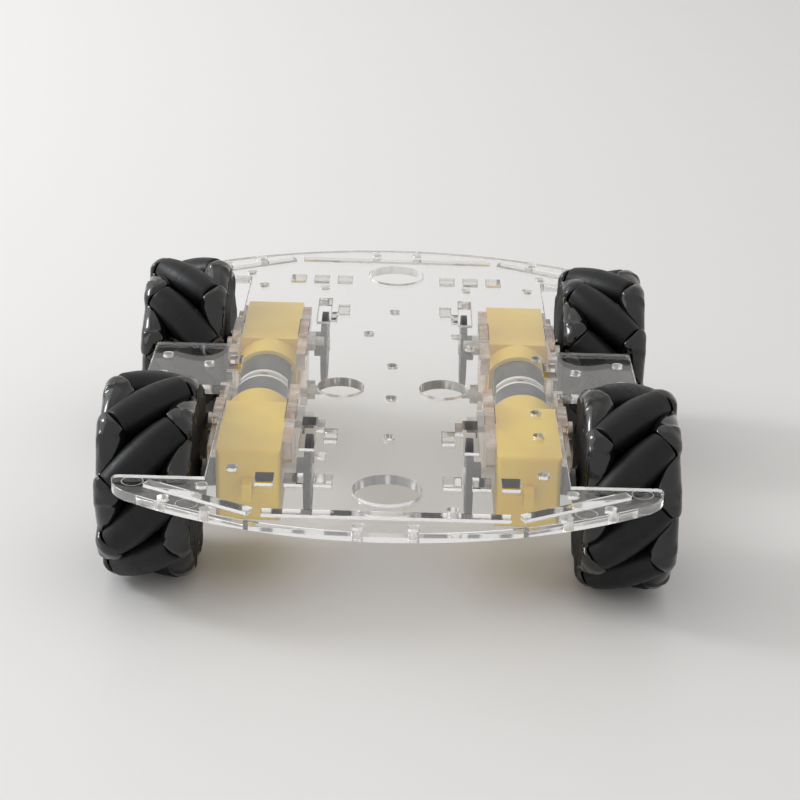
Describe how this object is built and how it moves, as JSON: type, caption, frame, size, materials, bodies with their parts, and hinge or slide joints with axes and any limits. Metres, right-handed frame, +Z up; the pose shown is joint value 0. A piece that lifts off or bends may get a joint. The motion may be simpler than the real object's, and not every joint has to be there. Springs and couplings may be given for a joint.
{
  "type": "four wheel robot chassis",
  "caption": "Clear flat deck with geared motors hung beneath it on tee brackets, slotted encoder discs, and slant-roller wheels that let it drive in any direction.",
  "frame": {"origin": "on the floor, under the centre of the deck", "axes": "+Z up, -Y the front end, +X the right side seen from behind the -Y end looking along +Y"},
  "size_m": [0.1668, 0.237, 0.061],
  "materials": {
    "deck_acrylic": "clear, polished faces and bright laser-cut edges",
    "bracket_acrylic": "clear, with a warm protective film",
    "screw_steel": "zinc plated",
    "nut_steel": "zinc plated",
    "yellow_plastic": "moulded, satin",
    "motor_steel": "drawn steel",
    "cap_plastic": "moulded",
    "strap_plastic": "clear moulded band",
    "terminal_brass": "stamped",
    "hub_plastic": "gloss black moulding",
    "shaft_plastic": "white nylon",
    "disc_plastic": "black moulding",
    "roller_rubber": "soft sheen"
  },
  "bodies": {
    "chassis": {"chassis_plate": "deck_acrylic", "motor_brackets": "bracket_acrylic", "bracket_screws": "screw_steel", "bracket_nuts": "nut_steel", "gearbox_front_left": "yellow_plastic", "gearbox_front_right": "yellow_plastic", "gearbox_rear_left": "yellow_plastic", "gearbox_rear_right": "yellow_plastic", "motor_cans": "motor_steel", "motor_end_caps": "cap_plastic", "motor_straps": "strap_plastic", "motor_terminals": "terminal_brass"},
    "wheel_front_left": {"wheel_hub_front_left": "hub_plastic", "output_shaft_front_left": "shaft_plastic", "encoder_disc_front_left": "disc_plastic"},
    "wheel_front_right": {"wheel_hub_front_right": "hub_plastic", "output_shaft_front_right": "shaft_plastic", "encoder_disc_front_right": "disc_plastic"},
    "wheel_rear_left": {"wheel_hub_rear_left": "hub_plastic", "output_shaft_rear_left": "shaft_plastic", "encoder_disc_rear_left": "disc_plastic"},
    "wheel_rear_right": {"wheel_hub_rear_right": "hub_plastic", "output_shaft_rear_right": "shaft_plastic", "encoder_disc_rear_right": "disc_plastic"},
    "roller_front_left_1": {"roller_front_left_1": "roller_rubber"},
    "roller_front_left_2": {"roller_front_left_2": "roller_rubber"},
    "roller_front_left_3": {"roller_front_left_3": "roller_rubber"},
    "roller_front_left_4": {"roller_front_left_4": "roller_rubber"},
    "roller_front_left_5": {"roller_front_left_5": "roller_rubber"},
    "roller_front_left_6": {"roller_front_left_6": "roller_rubber"},
    "roller_front_left_7": {"roller_front_left_7": "roller_rubber"},
    "roller_front_left_8": {"roller_front_left_8": "roller_rubber"},
    "roller_front_left_9": {"roller_front_left_9": "roller_rubber"},
    "roller_front_right_1": {"roller_front_right_1": "roller_rubber"},
    "roller_front_right_2": {"roller_front_right_2": "roller_rubber"},
    "roller_front_right_3": {"roller_front_right_3": "roller_rubber"},
    "roller_front_right_4": {"roller_front_right_4": "roller_rubber"},
    "roller_front_right_5": {"roller_front_right_5": "roller_rubber"},
    "roller_front_right_6": {"roller_front_right_6": "roller_rubber"},
    "roller_front_right_7": {"roller_front_right_7": "roller_rubber"},
    "roller_front_right_8": {"roller_front_right_8": "roller_rubber"},
    "roller_front_right_9": {"roller_front_right_9": "roller_rubber"},
    "roller_rear_left_1": {"roller_rear_left_1": "roller_rubber"},
    "roller_rear_left_2": {"roller_rear_left_2": "roller_rubber"},
    "roller_rear_left_3": {"roller_rear_left_3": "roller_rubber"},
    "roller_rear_left_4": {"roller_rear_left_4": "roller_rubber"},
    "roller_rear_left_5": {"roller_rear_left_5": "roller_rubber"},
    "roller_rear_left_6": {"roller_rear_left_6": "roller_rubber"},
    "roller_rear_left_7": {"roller_rear_left_7": "roller_rubber"},
    "roller_rear_left_8": {"roller_rear_left_8": "roller_rubber"},
    "roller_rear_left_9": {"roller_rear_left_9": "roller_rubber"},
    "roller_rear_right_1": {"roller_rear_right_1": "roller_rubber"},
    "roller_rear_right_2": {"roller_rear_right_2": "roller_rubber"},
    "roller_rear_right_3": {"roller_rear_right_3": "roller_rubber"},
    "roller_rear_right_4": {"roller_rear_right_4": "roller_rubber"},
    "roller_rear_right_5": {"roller_rear_right_5": "roller_rubber"},
    "roller_rear_right_6": {"roller_rear_right_6": "roller_rubber"},
    "roller_rear_right_7": {"roller_rear_right_7": "roller_rubber"},
    "roller_rear_right_8": {"roller_rear_right_8": "roller_rubber"},
    "roller_rear_right_9": {"roller_rear_right_9": "roller_rubber"}
  },
  "joints": [
    {"name": "wheel_spin_front_left", "type": "hinge", "parent": "chassis", "child": "wheel_front_left", "pos_m": [-0.0696, -0.0528, 0.0305], "axis": [1, 0, 0], "continuous": true},
    {"name": "wheel_spin_front_right", "type": "hinge", "parent": "chassis", "child": "wheel_front_right", "pos_m": [0.0696, -0.0528, 0.0305], "axis": [1, 0, 0], "continuous": true},
    {"name": "wheel_spin_rear_left", "type": "hinge", "parent": "chassis", "child": "wheel_rear_left", "pos_m": [-0.0696, 0.0528, 0.0305], "axis": [1, 0, 0], "continuous": true},
    {"name": "wheel_spin_rear_right", "type": "hinge", "parent": "chassis", "child": "wheel_rear_right", "pos_m": [0.0696, 0.0528, 0.0305], "axis": [1, 0, 0], "continuous": true},
    {"name": "roller_spin_front_left_1", "type": "hinge", "parent": "wheel_front_left", "child": "roller_front_left_1", "pos_m": [-0.0696, -0.0591, 0.05418], "axis": [0.7071, 0.6833, 0.1818], "continuous": true},
    {"name": "roller_spin_front_left_2", "type": "hinge", "parent": "wheel_front_left", "child": "roller_front_left_2", "pos_m": [-0.0696, -0.07284, 0.04459], "axis": [0.7071, 0.4066, 0.5785], "continuous": true},
    {"name": "roller_spin_front_left_3", "type": "hinge", "parent": "wheel_front_left", "child": "roller_front_left_3", "pos_m": [-0.0696, -0.07721, 0.02841], "axis": [0.7071, -0.0604, 0.7045], "continuous": true},
    {"name": "roller_spin_front_left_4", "type": "hinge", "parent": "wheel_front_left", "child": "roller_front_left_4", "pos_m": [-0.0696, -0.07015, 0.01321], "axis": [0.7071, -0.4991, 0.5009], "continuous": true},
    {"name": "roller_spin_front_left_5", "type": "hinge", "parent": "wheel_front_left", "child": "roller_front_left_5", "pos_m": [-0.0696, -0.05498, 0.0061], "axis": [0.7071, -0.7043, 0.0629], "continuous": true},
    {"name": "roller_spin_front_left_6", "type": "hinge", "parent": "wheel_front_left", "child": "roller_front_left_6", "pos_m": [-0.0696, -0.03878, 0.01041], "axis": [0.7071, -0.5799, -0.4046], "continuous": true},
    {"name": "roller_spin_front_left_7", "type": "hinge", "parent": "wheel_front_left", "child": "roller_front_left_7", "pos_m": [-0.0696, -0.02915, 0.02412], "axis": [0.7071, -0.1842, -0.6827], "continuous": true},
    {"name": "roller_spin_front_left_8", "type": "hinge", "parent": "wheel_front_left", "child": "roller_front_left_8", "pos_m": [-0.0696, -0.03058, 0.04081], "axis": [0.7071, 0.2977, -0.6414], "continuous": true},
    {"name": "roller_spin_front_left_9", "type": "hinge", "parent": "wheel_front_left", "child": "roller_front_left_9", "pos_m": [-0.0696, -0.04241, 0.05269], "axis": [0.7071, 0.6403, -0.3], "continuous": true},
    {"name": "roller_spin_front_right_1", "type": "hinge", "parent": "wheel_front_right", "child": "roller_front_right_1", "pos_m": [0.0696, -0.06009, 0.05389], "axis": [0.7071, 0.6751, 0.2103], "continuous": true},
    {"name": "roller_spin_front_right_2", "type": "hinge", "parent": "wheel_front_right", "child": "roller_front_right_2", "pos_m": [0.0696, -0.07342, 0.04374], "axis": [0.7071, 0.382, 0.595], "continuous": true},
    {"name": "roller_spin_front_right_3", "type": "hinge", "parent": "wheel_front_right", "child": "roller_front_right_3", "pos_m": [0.0696, -0.0771, 0.02739], "axis": [0.7071, -0.0898, 0.7014], "continuous": true},
    {"name": "roller_spin_front_right_4", "type": "hinge", "parent": "wheel_front_right", "child": "roller_front_right_4", "pos_m": [0.0696, -0.06942, 0.01249], "axis": [0.7071, -0.5197, 0.4795], "continuous": true},
    {"name": "roller_spin_front_right_5", "type": "hinge", "parent": "wheel_front_right", "child": "roller_front_right_5", "pos_m": [0.0696, -0.05395, 0.00603], "axis": [0.7071, -0.7063, 0.0333], "continuous": true},
    {"name": "roller_spin_front_right_6", "type": "hinge", "parent": "wheel_front_right", "child": "roller_front_right_6", "pos_m": [0.0696, -0.03795, 0.01101], "axis": [0.7071, -0.5625, -0.4285], "continuous": true},
    {"name": "roller_spin_front_right_7", "type": "hinge", "parent": "wheel_front_right", "child": "roller_front_right_7", "pos_m": [0.0696, -0.0289, 0.02511], "axis": [0.7071, -0.1555, -0.6898], "continuous": true},
    {"name": "roller_spin_front_right_8", "type": "hinge", "parent": "wheel_front_right", "child": "roller_front_right_8", "pos_m": [0.0696, -0.03103, 0.04174], "axis": [0.7071, 0.3243, -0.6283], "continuous": true},
    {"name": "roller_spin_front_right_9", "type": "hinge", "parent": "wheel_front_right", "child": "roller_front_right_9", "pos_m": [0.0696, -0.04335, 0.0531], "axis": [0.7071, 0.6523, -0.2729], "continuous": true},
    {"name": "roller_spin_rear_left_1", "type": "hinge", "parent": "wheel_rear_left", "child": "roller_rear_left_1", "pos_m": [-0.0696, 0.04867, 0.05465], "axis": [0.7071, -0.697, -0.1191], "continuous": true},
    {"name": "roller_spin_rear_left_2", "type": "hinge", "parent": "wheel_rear_left", "child": "roller_rear_left_2", "pos_m": [-0.0696, 0.03411, 0.04635], "axis": [0.7071, -0.4573, -0.5393], "continuous": true},
    {"name": "roller_spin_rear_left_3", "type": "hinge", "parent": "wheel_rear_left", "child": "roller_rear_left_3", "pos_m": [-0.0696, 0.0283, 0.03063], "axis": [0.7071, -0.0037, -0.7071], "continuous": true},
    {"name": "roller_spin_rear_left_4", "type": "hinge", "parent": "wheel_rear_left", "child": "roller_rear_left_4", "pos_m": [-0.0696, 0.03395, 0.01485], "axis": [0.7071, 0.4517, -0.544], "continuous": true},
    {"name": "roller_spin_rear_left_5", "type": "hinge", "parent": "wheel_rear_left", "child": "roller_rear_left_5", "pos_m": [-0.0696, 0.04842, 0.00639], "axis": [0.7071, 0.6957, -0.1264], "continuous": true},
    {"name": "roller_spin_rear_left_6", "type": "hinge", "parent": "wheel_rear_left", "child": "roller_rear_left_6", "pos_m": [-0.0696, 0.06494, 0.00922], "axis": [0.7071, 0.6142, 0.3503], "continuous": true},
    {"name": "roller_spin_rear_left_7", "type": "hinge", "parent": "wheel_rear_left", "child": "roller_rear_left_7", "pos_m": [-0.0696, 0.07578, 0.022], "axis": [0.7071, 0.2453, 0.6632], "continuous": true},
    {"name": "roller_spin_rear_left_8", "type": "hinge", "parent": "wheel_rear_left", "child": "roller_rear_left_8", "pos_m": [-0.0696, 0.07587, 0.03876], "axis": [0.7071, -0.2384, 0.6657], "continuous": true},
    {"name": "roller_spin_rear_left_9", "type": "hinge", "parent": "wheel_rear_left", "child": "roller_rear_left_9", "pos_m": [-0.0696, 0.06516, 0.05165], "axis": [0.7071, -0.6105, 0.3568], "continuous": true},
    {"name": "roller_spin_rear_right_1", "type": "hinge", "parent": "wheel_rear_right", "child": "roller_rear_right_1", "pos_m": [0.0696, 0.05472, 0.05492], "axis": [0.7071, -0.7049, 0.0555], "continuous": true},
    {"name": "roller_spin_rear_right_2", "type": "hinge", "parent": "wheel_rear_right", "child": "roller_rear_right_2", "pos_m": [0.0696, 0.03857, 0.05045], "axis": [0.7071, -0.5757, -0.4106], "continuous": true},
    {"name": "roller_spin_rear_right_3", "type": "hinge", "parent": "wheel_rear_right", "child": "roller_rear_right_3", "pos_m": [0.0696, 0.02908, 0.03663], "axis": [0.7071, -0.177, -0.6846], "continuous": true},
    {"name": "roller_spin_rear_right_4", "type": "hinge", "parent": "wheel_rear_right", "child": "roller_rear_right_4", "pos_m": [0.0696, 0.03069, 0.01995], "axis": [0.7071, 0.3044, -0.6382], "continuous": true},
    {"name": "roller_spin_rear_right_5", "type": "hinge", "parent": "wheel_rear_right", "child": "roller_rear_right_5", "pos_m": [0.0696, 0.04264, 0.00821], "axis": [0.7071, 0.6434, -0.2932], "continuous": true},
    {"name": "roller_spin_rear_right_6", "type": "hinge", "parent": "wheel_rear_right", "child": "roller_rear_right_6", "pos_m": [0.0696, 0.05935, 0.00689], "axis": [0.7071, 0.6814, 0.189], "continuous": true},
    {"name": "roller_spin_rear_right_7", "type": "hinge", "parent": "wheel_rear_right", "child": "roller_rear_right_7", "pos_m": [0.0696, 0.07299, 0.01662], "axis": [0.7071, 0.4005, 0.5827], "continuous": true},
    {"name": "roller_spin_rear_right_8", "type": "hinge", "parent": "wheel_rear_right", "child": "roller_rear_right_8", "pos_m": [0.0696, 0.07719, 0.03285], "axis": [0.7071, -0.0678, 0.7039], "continuous": true},
    {"name": "roller_spin_rear_right_9", "type": "hinge", "parent": "wheel_rear_right", "child": "roller_rear_right_9", "pos_m": [0.0696, 0.06997, 0.04797], "axis": [0.7071, -0.5043, 0.4956], "continuous": true}
  ]
}
